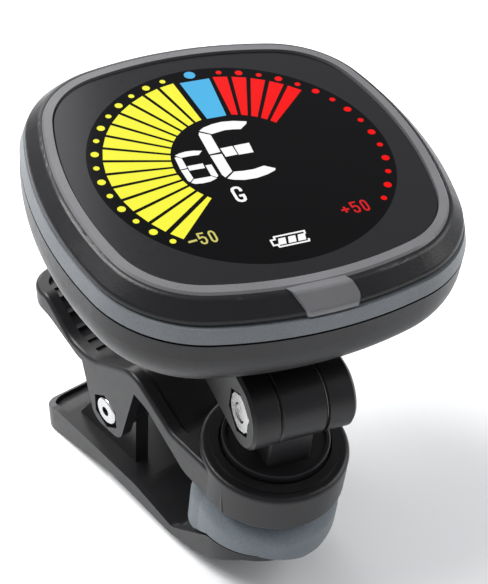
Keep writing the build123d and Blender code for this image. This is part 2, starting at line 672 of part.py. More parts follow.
def make_upper_arm():
    """Two walls with a floor between them, a cheek under each wall, and the swivel boss."""
    with BuildPart() as arm:
        add(
            side_bar(UPPER_RIM + UPPER_UNDER, UPPER_RIM_R + UPPER_UNDER_R, ARM_HALF)
        )
        add(arm_plan(ARM_HALF, -ARM_HALF, UPPER_END, 0, ARM_END_R), mode=Mode.INTERSECT)
        fillet(rim_edges(arm), radius=RIM_ROUND)
        # the recess above the floor and the hollow below it
        inner_plan = arm_plan(ARM_HALF - RIM, -ARM_HALF, UPPER_END - RIM, 0, ARM_END_R - RIM)
        with BuildPart(mode=Mode.PRIVATE) as recess:
            ceiling = [(-1.0, 25.0), (UPPER_END, 25.0)]
            add(side_bar(lowered(UPPER_RIM, RECESS) + ceiling, UPPER_RIM_R + [0.0, 0.0], ARM_HALF))
            add(inner_plan, mode=Mode.INTERSECT)
        add(recess, mode=Mode.SUBTRACT)
        hollow_plan = arm_plan(CHEEK_IN, BOSS_R + 0.2, UPPER_END - RIM, 0, ARM_END_R - RIM)
        with BuildPart(mode=Mode.PRIVATE) as hollow:
            depth = RECESS + FLOOR_THICK
            cellar = [(-1.0, GROUND + 1), (UPPER_END, GROUND + 1)]
            add(side_bar(lowered(UPPER_RIM, depth) + cellar, UPPER_RIM_R + [0.0, 0.0], ARM_HALF))
            add(hollow_plan, mode=Mode.INTERSECT)
        add(hollow, mode=Mode.SUBTRACT)
        # grip ridges on the handle
        for step in range(RIDGE_COUNT):
            place = RIDGE_REAR - step * RIDGE_PITCH
            with BuildSketch(Plane.XZ.offset(-place)):
                with Locations((0, rim_height(place - RIDGE_PITCH / 4) - RECESS)):
                    Rectangle(2 * (ARM_HALF - RIM) + 0.4, 2 * RIDGE_HIGH)
            extrude(amount=RIDGE_PITCH / 2)
        # cheeks
        add(
            side_bar(
                [(19.6, 0.5), (24.4, -12.6), (31.4, -12.6), (33.9, -2.0), (30.5, -1.9), (23.0, 1.5)],
                [0.0, 2.6, 2.6, 0.0, 0.0, 0.0],
                ARM_HALF,
            )
        )
        add(
            side_bar(
                [(15.0, -1.0), (15.0, -15.0), (40.0, -15.0), (40.0, -2.9), (30.0, -2.2), (20.0, 1.2)],
                [0.0] * 6,
                CHEEK_IN,
            ),
            mode=Mode.SUBTRACT,
        )
        add(rod(PIN_R + RUNNING, -ARM_HALF - 1, ARM_HALF + 1, PIVOT_Y, PIVOT_Z), mode=Mode.SUBTRACT)
        for low in (-ARM_HALF - 1, PIN_SEAT):
            high = low + ARM_HALF + 1 - PIN_SEAT
            add(hex_bar(2 * PIN_HEAD_R + 0.9, low, high, PIVOT_Y, PIVOT_Z), mode=Mode.SUBTRACT)
        # the swivel boss, on its tilted axis
        with BuildPart(mode=Mode.PRIVATE) as boss:
            for radius, top in ((BOSS_R, BOSS_TOP), (BOSS_LIP_R, BOSS_LIP_TOP)):
                with BuildSketch(boss_plane.offset(BOSS_LOW)):
                    Circle(radius)
                extrude(amount=top - BOSS_LOW)
            shoulder = boss.edges().filter_by(GeomType.CIRCLE).filter_by(
                lambda edge: edge.radius > BOSS_R - 0.1
            )
            fillet(shoulder.sort_by(Axis.Z)[-1], radius=0.75)
            fillet(shoulder.sort_by(Axis.Z)[0], radius=0.4)
        add(boss)
        for radius, low, top in (
            (WELL_R, WELL_FLOOR, 2.0),
            (SPIGOT_R + RUNNING, BOSS_LOW, 2.0),
            (BOSS_CAVITY_R, BOSS_LOW - 1, BOSS_FLOOR_LOW),
        ):
            with BuildSketch(boss_plane.offset(low)):
                Circle(radius)
            extrude(amount=top - low, mode=Mode.SUBTRACT)
    return arm.part


def make_upper_pad():
    """A tapered rubber block under the boss, with a plug in the boss's hollow and grooves below."""
    low = PAD_MEET + PAD_GAP / 2
    with BuildPart() as pad:
        with BuildSketch(boss_plane.offset(BOSS_LOW - FIT)):
            add(pad_outline(BOSS_R - 1.0))
        extrude(amount=low - BOSS_LOW + FIT, taper=UPPER_PAD_TAPER)
        with BuildSketch(boss_plane.offset(BOSS_LOW - 0.5)):
            Circle(BOSS_CAVITY_R - 0.1)
        extrude(amount=1.3)
        cut_grooves(low)
    return pad.part


def pad_outline(half):
    """A pad from above: a half circle in front of the swivel axis, and straight sides behind."""
    with BuildSketch() as outline:
        Circle(half)
        Rectangle(2 * half - 1.0, PAD_REAR, align=(Align.CENTER, Align.MIN))
        with Locations((0, PAD_REAR)):
            Rectangle(3 * half, 3 * half, align=(Align.CENTER, Align.MAX), mode=Mode.INTERSECT)
        fillet(outline.vertices().group_by(Axis.Y)[-1], radius=PAD_CORNER)
    return outline.sketch


def cut_grooves(height):
    """Round grooves across a pad's face."""
    for step in range(GROOVE_COUNT):
        place = PAD_REAR - GROOVE_PITCH * (step + 0.6)
        centre = boss_plane.from_local_coords((0, place, height))
        add(rod(GROOVE_R, -ARM_HALF - 1, ARM_HALF + 1, centre.Y, centre.Z), mode=Mode.SUBTRACT)


def make_lower_arm():
    """A shallow tray with a hollow underside, two pivot lugs and a scooped-up jaw."""
    with BuildPart() as arm:
        add(
            side_bar(LOWER_RIM + LOWER_UNDER, LOWER_RIM_R + LOWER_UNDER_R, ARM_HALF)
        )
        add(arm_plan(ARM_HALF, -8.0, LOWER_END, ARM_HALF - 0.4, ARM_END_R), mode=Mode.INTERSECT)
        # the tray above the floor and the hollow below it
        tray_plan = arm_plan(ARM_HALF - TRAY_RIM, 3.0, LOWER_END - TRAY_RIM, 1.0, ARM_END_R - TRAY_RIM)
        with BuildPart(mode=Mode.PRIVATE) as tray:
            ceiling = [(-9.0, 5.0), (LOWER_END, 5.0)]
            radii = [0.0, *LOWER_RIM_R[1:-1], 0.0, 0.0, 0.0]
            add(side_bar(lowered(LOWER_RIM, TRAY_DEPTH) + ceiling, radii, ARM_HALF))
            add(tray_plan, mode=Mode.INTERSECT)
        add(tray, mode=Mode.SUBTRACT)
        hollow_plan = arm_plan(ARM_HALF - RIM, 6.0, LOWER_END - RIM, 1.0, ARM_END_R - RIM)
        with BuildPart(mode=Mode.PRIVATE) as hollow:
            cellar = [(-9.0, GROUND - 1), (LOWER_END, GROUND - 1)]
            radii = [0.0, *LOWER_RIM_R[1:-2], 0.0, 0.0, 0.0, 0.0]
            depth = TRAY_DEPTH + FLOOR_THICK
            add(side_bar(lowered(LOWER_RIM, depth) + cellar, radii, ARM_HALF))
            add(hollow_plan, mode=Mode.INTERSECT)
        add(hollow, mode=Mode.SUBTRACT)
        # lugs
        with BuildPart(mode=Mode.PRIVATE) as lugs:
            points = [(25.8, -21.0), (24.8, -9.0), (28.0, -5.4), (31.0, -7.0), (42.0, -21.0)]
            add(side_bar(points, [0.0, 3.0, 3.0, 3.0, 0.0], LUG_OUT))
            add(rod(LUG_BOSS_R, -LUG_BOSS_OUT, LUG_BOSS_OUT, PIVOT_Y, PIVOT_Z))
            with Locations((0, PIVOT_Y, PIVOT_Z)):
                Box(2 * LUG_IN, 60, 60, mode=Mode.SUBTRACT)
        add(lugs)
        # the foot under the jaw, level with the rear end
        with BuildSketch(Plane.XY.offset(GROUND)):
            with Locations((0, FOOT_Y)):
                Rectangle(FOOT_WIDE, FOOT_DEEP)
        extrude(amount=FOOT_TALL)
        add(rod(PIN_R + 0.02, -ARM_HALF - 1, ARM_HALF + 1, PIVOT_Y, PIVOT_Z), mode=Mode.SUBTRACT)
    return arm.part


def make_lower_pad():
    """A rubber block on the jaw: grooves across its face, and a rounded nose lapping the arm's tip."""
    top = PAD_MEET - PAD_GAP / 2
    seat = [(-20.0, -15.95), (2.9, PAD_SEAT_Z + 0.1), (9.0, -19.3), (20.0, -19.3)]
    below = [(-20.0, PAD_LOW), (20.0, PAD_LOW - 1.5), (20.0, -30.0), (-20.0, -30.0)]
    with BuildPart() as pad:
        with BuildSketch(boss_plane.offset(top)):
            add(pad_outline(BOSS_R - 0.2))
        extrude(amount=-9.0)
        fillet(pad.faces().sort_by(Axis.Z)[-1].edges(), radius=PAD_ROUND)
        cut_grooves(top)
        add(side_bar(below, [0.0] * 4, 20), mode=Mode.SUBTRACT)
        with BuildPart(mode=Mode.PRIVATE) as jaw:
            add(side_bar(seat + [(20.0, -30.0), (-20.0, -30.0)], [0.0] * 6, 20))
            add(arm_plan(ARM_HALF + 0.1, -8.1, 20.0, ARM_HALF - 0.3, 0.1), mode=Mode.INTERSECT)
        add(jaw, mode=Mode.SUBTRACT)
    return pad.part


def make_pivot_pin():
    """A tubular rivet: its rolled head on the left, its end in the cap on the right."""
    with BuildPart() as pin:
        add(rod(PIN_R, -PIN_SEAT - FIT, PIN_SEAT + 0.6, PIVOT_Y, PIVOT_Z))
        add(pin_head(-ARM_HALF - 0.05, -PIN_SEAT - FIT, 0))
        add(rod(0.8, -ARM_HALF - 1, -PIN_SEAT + 1.5, PIVOT_Y, PIVOT_Z), mode=Mode.SUBTRACT)
    return pin.part


def pin_head(low, high, outer):
    """A domed disc on the pivot axis; outer says which of its X faces is rounded."""
    with BuildPart() as disc:
        add(rod(PIN_HEAD_R, low, high, PIVOT_Y, PIVOT_Z))
        fillet(disc.faces().sort_by(Axis.X)[outer].edges(), radius=0.45)
    return disc.part


def make_pivot_cap():
    with BuildPart() as cap:
        add(pin_head(PIN_SEAT + FIT, ARM_HALF + 0.05, -1))
        add(rod(PIN_R + 0.01, PIN_SEAT - 1, PIN_SEAT + 0.62, PIVOT_Y, PIVOT_Z), mode=Mode.SUBTRACT)
    return cap.part


def make_torsion_spring():
    """A coil round the pivot pin with a straight leg to each handle; +Z here is along the pin."""
    turns = COIL_TURNS + (180 - 2 * LEG_ANGLE) / 360
    with BuildPart() as spring:
        with BuildLine():
            wire = Helix(pitch=2 * COIL_HALF / turns, height=2 * COIL_HALF, radius=COIL_R, lefthand=True)
        with BuildSketch(Plane(origin=wire @ 0, z_dir=wire % 0)):
            Circle(WIRE / 2)
        sweep(path=wire)
        for root, course, reach in ((wire @ 0, -(wire % 0), LOWER_LEG), (wire @ 1, wire % 1, UPPER_LEG)):
            with BuildSketch(Plane(origin=root, z_dir=course)):
                Circle(WIRE / 2)
            extrude(amount=reach)
    return spring.part.rotate(Axis.Z, 270 - LEG_ANGLE).translate((0, 0, -COIL_HALF))


# ---- the whole tuner ----
clip_place = Location((0, 0, 0))
pivot_place = Plane(origin=(0, PIVOT_Y, PIVOT_Z), x_dir=(0, 1, 0), z_dir=(1, 0, 0)).location
yoke_place = yoke_plane.location
head_place = display_plane.location

makers = (
    (clip_place, make_lower_arm, make_lower_pad, make_pivot_pin, make_pivot_cap),
    (pivot_place, make_torsion_spring),
    (clip_place, make_upper_arm, make_upper_pad),
    (yoke_place, make_swivel_yoke, make_friction_washers, make_swivel_washer, make_swivel_screw),
    (head_place, make_back_cover, make_mid_band, make_front_bezel, make_trim_ring, make_display_lens),
    (head_place, make_lcd_panel, make_light_guide, make_lcd_carrier, make_circuit_board),
    (head_place, make_board_chips, make_battery_cell, make_piezo_sensor, make_charging_socket),
    (head_place, make_tactile_switch, make_case_screws, make_hinge_screw, make_hinge_nut),
    (head_place, make_power_button),
)
pieces = {}
for place, *group in makers:
    for maker in group:
        name = maker.__name__.removeprefix("make_")
        pieces[name] = maker().moved(place)
        pieces[name].label = name

# the origin is the middle of the footprint, on the surface that the clip stands on
boxes = [piece.bounding_box() for piece in pieces.values()]
low = Vector(*(min(getattr(box.min, axis) for box in boxes) for axis in "XYZ"))
high = Vector(*(max(getattr(box.max, axis) for box in boxes) for axis in "XYZ"))
origin = Location((-(low.X + high.X) / 2, -(low.Y + high.Y) / 2, -low.Z))
for name, piece in pieces.items():
    placed = piece.moved(origin)
    placed.label = name
    export_step(placed, f"parts/{name}.step")

swivel_centre = origin.position
hinge_centre = swivel_centre + yoke_plane.from_local_coords((0, HINGE_Y, HINGE_H))
pivot_centre = swivel_centre + Vector(0, PIVOT_Y, PIVOT_Z)
print("swivel centre", swivel_centre, "axis", boss_plane.z_dir)
print("hinge centre", hinge_centre, "axis", yoke_plane.x_dir)
print("pivot centre", pivot_centre)
print("display centre", swivel_centre + display_plane.origin, "up", display_plane.y_dir)
socket_mouth = display_plane.from_local_coords((COVER_X, SOCKET_V, SOCKET_H))
print("socket mouth", swivel_centre + socket_mouth, "axis", display_plane.x_dir)
print("size", high - low)
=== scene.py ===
import json
import math

import bmesh
import bpy
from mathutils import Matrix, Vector


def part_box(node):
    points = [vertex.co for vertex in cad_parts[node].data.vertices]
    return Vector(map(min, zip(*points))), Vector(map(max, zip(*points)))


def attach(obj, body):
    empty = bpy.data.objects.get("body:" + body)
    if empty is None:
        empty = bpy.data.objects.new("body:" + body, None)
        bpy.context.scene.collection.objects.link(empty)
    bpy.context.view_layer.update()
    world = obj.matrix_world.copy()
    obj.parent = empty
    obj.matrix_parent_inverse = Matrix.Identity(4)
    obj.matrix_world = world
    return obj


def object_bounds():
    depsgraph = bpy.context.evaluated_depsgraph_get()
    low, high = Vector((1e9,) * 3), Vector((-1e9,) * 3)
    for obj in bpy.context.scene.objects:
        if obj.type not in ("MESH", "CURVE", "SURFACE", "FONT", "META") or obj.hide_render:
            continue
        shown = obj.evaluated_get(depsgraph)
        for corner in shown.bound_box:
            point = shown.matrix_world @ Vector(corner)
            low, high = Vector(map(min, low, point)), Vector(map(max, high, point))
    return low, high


# The looks of a clip-on instrument tuner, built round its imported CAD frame. Lengths are in metres;
# MM turns millimetres into them.

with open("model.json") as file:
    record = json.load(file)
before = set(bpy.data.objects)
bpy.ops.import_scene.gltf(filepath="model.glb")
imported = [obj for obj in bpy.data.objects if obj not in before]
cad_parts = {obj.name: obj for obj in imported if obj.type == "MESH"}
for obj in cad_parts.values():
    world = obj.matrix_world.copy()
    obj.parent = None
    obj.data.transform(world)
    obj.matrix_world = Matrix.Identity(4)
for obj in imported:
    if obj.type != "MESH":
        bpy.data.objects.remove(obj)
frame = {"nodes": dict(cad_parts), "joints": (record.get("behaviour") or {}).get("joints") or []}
cad_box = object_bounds()
MM = 0.001

# ---- places, from the frame's joints and boxes ----
joints = {joint["name"]: joint for joint in frame["joints"]}
swivel = Vector(joints["head_swivel"]["pos_m"])
panel_x = Vector(joints["head_tilt"]["axis"]).normalized()
panel_y = -Vector(joints["power_press"]["axis"]).normalized()
panel_n = panel_x.cross(panel_y)
# the lens is symmetric about its middle, which is so the middle of its box too
LENS_THICK = 1.3
lens_low, lens_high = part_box("display_lens")
lens_top = (lens_low + lens_high) / 2 + panel_n * LENS_THICK / 2 * MM


# ---- node helpers ----
# where a Mix node keeps its sockets when it mixes colours
MIX_FACTOR, MIX_A, MIX_B, MIX_RESULT = 0, 6, 7, 2

# noise mostly keeps within these values: the coarse and slow kind, and the fine grain
COARSE = (0.3, 0.7)
FINE = (0.25, 0.75)


class Shader:
    """A material's node tree, with short calls for the nodes that are used here."""

    def __init__(self, name):
        self.material = bpy.data.materials.new(name)
        self.material.use_nodes = True
        self.nodes = self.material.node_tree.nodes
        self.links = self.material.node_tree.links
        self.main = self.nodes["Principled BSDF"]
        self.place = self.nodes.new("ShaderNodeTexCoord").outputs["Object"]

    def set(self, **values):
        for key, value in values.items():
            self.main.inputs[key.replace("_", " ")].default_value = value
        return self

    def wire(self, source, socket):
        self.links.new(source, self.main.inputs[socket])

    def noise(self, size_mm, detail=2.0, rough=0.5):
        node = self.nodes.new("ShaderNodeTexNoise")
        node.inputs["Scale"].default_value = 1 / (size_mm * MM)
        node.inputs["Detail"].default_value = detail
        node.inputs["Roughness"].default_value = rough
        self.links.new(self.place, node.inputs["Vector"])
        return node.outputs["Fac"]

    def cells(self, size_mm):
        node = self.nodes.new("ShaderNodeTexVoronoi")
        node.inputs["Scale"].default_value = 1 / (size_mm * MM)
        self.links.new(self.place, node.inputs["Vector"])
        return node.outputs["Distance"]

    def spread(self, value, low, high, to_low=0.0, to_high=1.0):
        node = self.nodes.new("ShaderNodeMapRange")
        node.inputs["From Min"].default_value = low
        node.inputs["From Max"].default_value = high
        node.inputs["To Min"].default_value = to_low
        node.inputs["To Max"].default_value = to_high
        self.links.new(value, node.inputs["Value"])
        return node.outputs["Result"]

    def mix(self, value, first, second):
        node = self.nodes.new("ShaderNodeMix")
        node.data_type = "RGBA"
        self.links.new(value, node.inputs[MIX_FACTOR])
        for socket, colour in ((node.inputs[MIX_A], first), (node.inputs[MIX_B], second)):
            if isinstance(colour, bpy.types.NodeSocket):
                self.links.new(colour, socket)
            else:
                socket.default_value = (*colour, 1.0)
        return node.outputs[MIX_RESULT]

    def add(self, first, second, operation="ADD"):
        node = self.nodes.new("ShaderNodeMath")
        node.operation = operation
        self.links.new(first, node.inputs[0])
        if isinstance(second, bpy.types.NodeSocket):
            self.links.new(second, node.inputs[1])
        else:
            node.inputs[1].default_value = second
        return node.outputs[0]

    def bump(self, height, strength, distance_mm):
        node = self.nodes.new("ShaderNodeBump")
        node.inputs["Strength"].default_value = strength
        node.inputs["Distance"].default_value = distance_mm * MM
        self.links.new(height, node.inputs["Height"])
        self.wire(node.outputs["Normal"], "Normal")


PATCH_MM = 9.0           # size of a plastic piece's slow changes of shade
SCUFF_MM = 1.2           # size of its changes of gloss
SCUFF_RANGE = (0.1, 0.45)
SPECK_SIZE = 1.3         # specks, per grain
GRAIN_BUMP = 0.6


def plastic(name, colour, rough, grain_mm, grain_depth, contrast=0.15, specular=0.5):
    """Moulded plastic: a fine spark-eroded grain, with slow changes of shade and gloss."""
    shader = Shader(name)
    shader.set(Specular_IOR_Level=specular)
    dark = tuple(c * (1 - contrast) for c in colour)
    light = tuple(c * (1 + contrast) for c in colour)
    slow = shader.noise(PATCH_MM, detail=3.0)
    fine = shader.noise(grain_mm)
    speck = shader.cells(grain_mm * SPECK_SIZE)
    shade = shader.add(shader.spread(slow, *COARSE), shader.spread(fine, *FINE))
    shader.wire(shader.mix(shader.spread(shade, low=0.0, high=2.0), dark, light), "Base Color")
    gloss = shader.add(shader.noise(SCUFF_MM, detail=3.0), slow, "MULTIPLY")
    shader.wire(shader.spread(gloss, *SCUFF_RANGE, rough * 0.88, rough * 1.14), "Roughness")
    shader.bump(shader.add(fine, speck), GRAIN_BUMP, grain_depth)
    return shader.material


def rubber(name, colour):
    """Matt rubber: cloudy, with a faint sheen and a powdery grain."""
    shader = Shader(name)
    shader.set(Specular_IOR_Level=0.35, Sheen_Weight=0.12, Sheen_Roughness=0.5)
    dark = tuple(c * 0.8 for c in colour)
    light = tuple(c * 1.15 for c in colour)
    slow = shader.noise(5.0, detail=4.0, rough=0.6)
    fine = shader.noise(0.35)
    shade = shader.add(slow, fine)
    shader.wire(shader.mix(shader.spread(shade, low=0.7, high=1.3), dark, light), "Base Color")
    shader.wire(shader.spread(slow, *COARSE, to_low=0.5, to_high=0.66), "Roughness")
    shader.bump(fine, strength=0.35, distance_mm=0.03)
    return shader.material


def metal(name, colour, rough):
    """Plated metal: slightly stained, with small changes of gloss."""
    shader = Shader(name)
    shader.set(Metallic=1.0)
    marks = shader.noise(0.5, detail=3.0, rough=0.6)
    slow = shader.noise(3.0, detail=3.0)
    dark = tuple(c * 0.9 for c in colour)
    shader.wire(shader.mix(shader.spread(slow, *COARSE), dark, colour), "Base Color")
    shader.wire(shader.spread(marks, *COARSE, rough * 0.7, rough * 1.4), "Roughness")
    shader.bump(marks, strength=0.15, distance_mm=0.01)
    return shader.material


def gloss_black(name, colour, rough, specular):
    """A polished window: very faint moulding waves and a trace of dust-fine haze."""
    shader = Shader(name)
    shader.set(Specular_IOR_Level=specular, IOR=1.49)
    slow = shader.noise(14.0)
    haze = shader.noise(0.8, detail=3.0, rough=0.6)
    light = tuple(c * 1.3 for c in colour)
    shader.wire(shader.mix(slow, colour, light), "Base Color")
    shader.wire(shader.spread(haze, 0.3, 0.75, to_low=rough * 0.85, to_high=rough * 1.2), "Roughness")
    shader.bump(slow, strength=0.05, distance_mm=0.02)
    return shader.material


def lit(name, colour, unevenness=0.1):
    """A backlit figure: the light is a little uneven across the panel, with a fine pixel grain."""
    shader = Shader(name)
    shader.set(Base_Color=(0, 0, 0, 1), Specular_IOR_Level=0.1, Roughness=0.35)
    dark = tuple(c * (1 - unevenness) for c in colour)
    slow = shader.noise(11.0)
    fine = shader.noise(0.12, detail=1.0)
    shade = shader.spread(shader.add(slow, fine), low=0.6, high=1.4)
    shader.wire(shader.mix(shade, dark, colour), "Emission Color")
    shader.set(Emission_Strength=1.0)
    return shader.material


# ---- mesh helpers ----
def new_object(name, mesh_builder, material, body=None):
    """A mesh object; with a body given, it rides on that body."""
    mesh = bpy.data.meshes.new(name)
    build = bmesh.new()
    mesh_builder(build)
    bmesh.ops.recalc_face_normals(build, faces=build.faces)
    build.to_mesh(mesh)
    build.free()
    mesh.materials.append(material)
    piece = bpy.data.objects.new(name, mesh)
    bpy.context.scene.collection.objects.link(piece)
    if body:
        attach(piece, body)
    return piece


FIGURE_X, FIGURE_Y = 0.15, 0.29      # where the figures' own middle is on the lens


def on_panel(x, y, height=0.0):
    """A point given in millimetres on the display: right, up, and out from the lens's top face."""
    return lens_top + (panel_x * (x + FIGURE_X) + panel_y * (y + FIGURE_Y) + panel_n * height) * MM


# heights over the lens: the figures, and the black window round them
FIGURE_LOW, FIGURE_TOP = -0.05, 0.035
WINDOW_LOW, WINDOW_TOP = -0.05, 0.02
WINDOW_R, WINDOW_STEPS = 21.05, 128


def plate(build, outline, low=FIGURE_LOW, top=FIGURE_TOP):
    """A closed thin plate on the display with the given outline."""
    lower = [build.verts.new(on_panel(x, y, low)) for x, y in outline]
    upper = [build.verts.new(on_panel(x, y, top)) for x, y in outline]
    build.faces.new(upper)
    build.faces.new(lower[::-1])
    for i in range(len(outline)):
        j = (i + 1) % len(outline)
        build.faces.new((lower[i], lower[j], upper[j], upper[i]))


def disc_outline(centre, radius, steps=24):
    turns = [2 * math.pi * i / steps for i in range(steps)]
    return [(centre[0] + radius * math.cos(a), centre[1] + radius * math.sin(a)) for a in turns]


def stroke(build, points, width, closed=False):
    """A ribbon of constant width along a line of points, mitred at its corners."""
    count = len(points)
    left, right = [], []
    for i, point in enumerate(points):
        here = Vector(point)
        before = Vector(points[i - 1]) if i or closed else None
        after = Vector(points[(i + 1) % count]) if i < count - 1 or closed else None
        into = (here - before).normalized() if before is not None else None
        out = (after - here).normalized() if after is not None else None
        into, out = into or out, out or into
        normal = Vector((-(into + out).y, (into + out).x)).normalized()
        reach = width / 2 / max(0.5, normal.dot(Vector((-into.y, into.x))))
        left.append(here + normal * reach)
        right.append(here - normal * reach)
    for i in range(count if closed else count - 1):
        j = (i + 1) % count
        plate(build, [left[i], left[j], right[j], right[i]])


# ---- the display's figures: millimetres and degrees ----
RING_CENTRE = (-0.27, -0.45)
RING_R = 19.87
DOT_FIRST, DOT_STEP = 12.62, 8.46
DOTS_PER_SIDE = 15
SMALL_DOT, LARGE_DOT, MIDDLE_DOT = 0.43, 0.56, 0.84
BAR_OUT, BAR_IN = 18.8, 9.75
BAR_IN_FIRST, BAR_IN_STEP = 16.2, 8.2
LIT_RED = 5
# half widths of a bar's outer and inner ends
YELLOW_HALF, LAST_YELLOW_HALF, RED_HALF = (1.12, 0.49), (0.95, 0.3), (1.07, 0.45)
# line widths
MODE_LINE, FIFTY_LINE, MINUS_LINE, PLUS_LINE, BATTERY_LINE = 0.42, 0.27, 0.36, 0.33, 0.26


def polar(radius, angle, across=0.0):
    """A point at a clockwise angle from twelve o'clock, moved sideways by across."""
    turn = math.radians(angle)
    x = radius * math.sin(turn) + across * math.cos(turn)
    y = radius * math.cos(turn) - across * math.sin(turn)
    return (RING_CENTRE[0] + x, RING_CENTRE[1] + y)


def bar(build, number, side, out_half, in_half):
    """One radial bar: number counts from the middle, side is -1 for left and 1 for right."""
    out_angle = side * (DOT_FIRST + DOT_STEP * number)
    in_angle = side * (BAR_IN_FIRST + BAR_IN_STEP * number)
    outer = [polar(BAR_OUT, out_angle, across) for across in (-out_half, out_half)]
    inner = [polar(BAR_IN, in_angle, across) for across in (in_half, -in_half)]
    plate(build, outer + inner)


def side_dots(side):
    def builder(build):
        for number in range(DOTS_PER_SIDE):
            radius = LARGE_DOT if number % 2 else SMALL_DOT
            centre = polar(RING_R, side * (DOT_FIRST + DOT_STEP * number))
            plate(build, disc_outline(centre, radius))

    return builder


def yellow_bars(build):
    for number in range(DOTS_PER_SIDE):
        last = number == DOTS_PER_SIDE - 1
        bar(build, number, -1, *(LAST_YELLOW_HALF if last else YELLOW_HALF))


def red_bars(build):
    for number in range(LIT_RED):
        bar(build, number, 1, *RED_HALF)


def middle_bar(build):
    plate(build, [(-2.35, 17.95), (2.18, 17.95), (1.25, 9.05), (-1.66, 9.05)])


def letter_e(build):
    """The note's letter, in separate segments as on a segment display."""
    plate(build, [
        (-3.75, 6.75), (-2.9, 7.3), (-1.5, 7.7), (0.0, 7.85), (1.7, 7.6), (3.45, 7.0),
        (3.25, 6.55), (2.0, 5.6), (0.9, 5.85), (-0.3, 5.98), (-2.3, 5.65),
    ])
    plate(build, [(-3.9, 6.45), (-2.55, 5.5), (-2.65, 1.65), (-4.3, 1.55), (-4.15, 5.9)])
    plate(build, [(-4.3, 1.25), (-2.65, 1.2), (-2.7, -2.65), (-4.05, -3.6), (-4.3, -3.0)])
    plate(build, [
        (-3.9, -3.9), (-2.5, -2.8), (-1.2, -3.0), (0.3, -3.05), (1.9, -2.75), (3.2, -3.7),
        (3.0, -4.05), (1.7, -4.55), (0.0, -4.88), (-1.8, -4.8), (-3.2, -4.35),
    ])
    plate(build, [(-2.4, 2.35), (-0.6, 2.4), (-0.6, 0.5), (-2.35, 0.45)])
    plate(build, [(-0.4, 2.4), (1.9, 2.45), (1.7, 0.35), (-0.45, 0.4)])


def string_number(build):
    """The figure 6, in segments."""
    plate(build, [
        (-8.9, 2.6), (-8.2, 2.85), (-7.2, 3.0), (-6.1, 2.9), (-5.0, 2.55), (-5.75, 1.85),
        (-7.0, 1.95), (-8.3, 1.9),
    ])
    plate(build, [(-9.1, 2.15), (-8.8, 2.2), (-8.25, 1.7), (-8.25, -0.35), (-9.25, -0.4)])
    plate(build, [(-8.1, 0.0), (-5.9, 0.0), (-5.95, -1.0), (-8.15, -0.95)])
    plate(build, [(-9.25, -0.6), (-8.3, -0.6), (-8.25, -2.55), (-8.9, -3.2), (-9.15, -2.9)])
    plate(build, [
        (-8.85, -3.4), (-8.3, -2.8), (-5.75, -2.85), (-5.2, -3.45), (-6.3, -3.85),
        (-7.4, -3.9), (-8.4, -3.75),
    ])
    plate(build, [(-5.7, -0.5), (-4.85, -0.55), (-4.85, -3.0), (-5.15, -3.25), (-5.75, -2.65)])


def mode_letter(build):
    """The letter G."""
    stroke(build, [
        (-3.15, -6.85), (-3.15, -6.4), (-3.3, -6.08), (-3.55, -5.95), (-3.85, -5.95),
        (-4.15, -6.12), (-4.27, -6.5), (-4.27, -8.15), (-4.15, -8.5), (-3.85, -8.7),
        (-3.5, -8.7), (-3.24, -8.5), (-3.15, -8.15), (-3.15, -7.65), (-3.75, -7.65),
    ], MODE_LINE)


def fifty(build, x, y):
    """The figure 50, with its left top corner at x, y."""
    five = [(0.78, 0), (0, 0), (0, -0.85), (0.45, -0.7), (0.75, -0.95), (0.78, -1.5), (0.6, -1.9)]
    five += [(0.3, -1.95), (0.05, -1.75), (0.02, -1.4)]
    nought = [(1.45, -0.3), (1.6, -0.02), (1.85, 0.02), (2.05, -0.2), (2.12, -0.5), (2.12, -1.45)]
    nought += [(2.05, -1.75), (1.85, -1.97), (1.6, -1.93), (1.45, -1.65)]
    stroke(build, [(x + a, y + b) for a, b in five], FIFTY_LINE)
    stroke(build, [(x + a, y + b) for a, b in nought], FIFTY_LINE, closed=True)


def flat_end_label(build):
    stroke(build, [(-13.45, -14.25), (-12.25, -14.15)], MINUS_LINE)
    fifty(build, -11.85, -13.1)


def sharp_end_label(build):
    stroke(build, [(8.05, -14.2), (9.2, -14.2)], PLUS_LINE)
    stroke(build, [(8.63, -13.62), (8.63, -14.78)], PLUS_LINE)
    fifty(build, 9.75, -13.15)


def battery_sign(build):
    """The cell's outline, open on the right, with three slanted blocks in it."""
    stroke(build, [
        (1.5, -17.0), (1.6, -16.45), (-2.65, -16.45), (-2.72, -16.95), (-3.3, -16.95),
        (-3.32, -17.95), (-2.74, -17.95), (-2.65, -18.4), (1.45, -18.4), (1.6, -17.95),
    ], BATTERY_LINE)
    block = [(0.1, -16.9), (1.1, -16.9), (0.8, -18.05), (-0.3, -18.05)]
    for left in (-2.35, -0.95, 0.4):
        plate(build, [(left + x, y) for x, y in block])


def window_disc(build):
    outline = disc_outline(RING_CENTRE, WINDOW_R, WINDOW_STEPS)
    plate(build, outline, WINDOW_LOW, WINDOW_TOP)


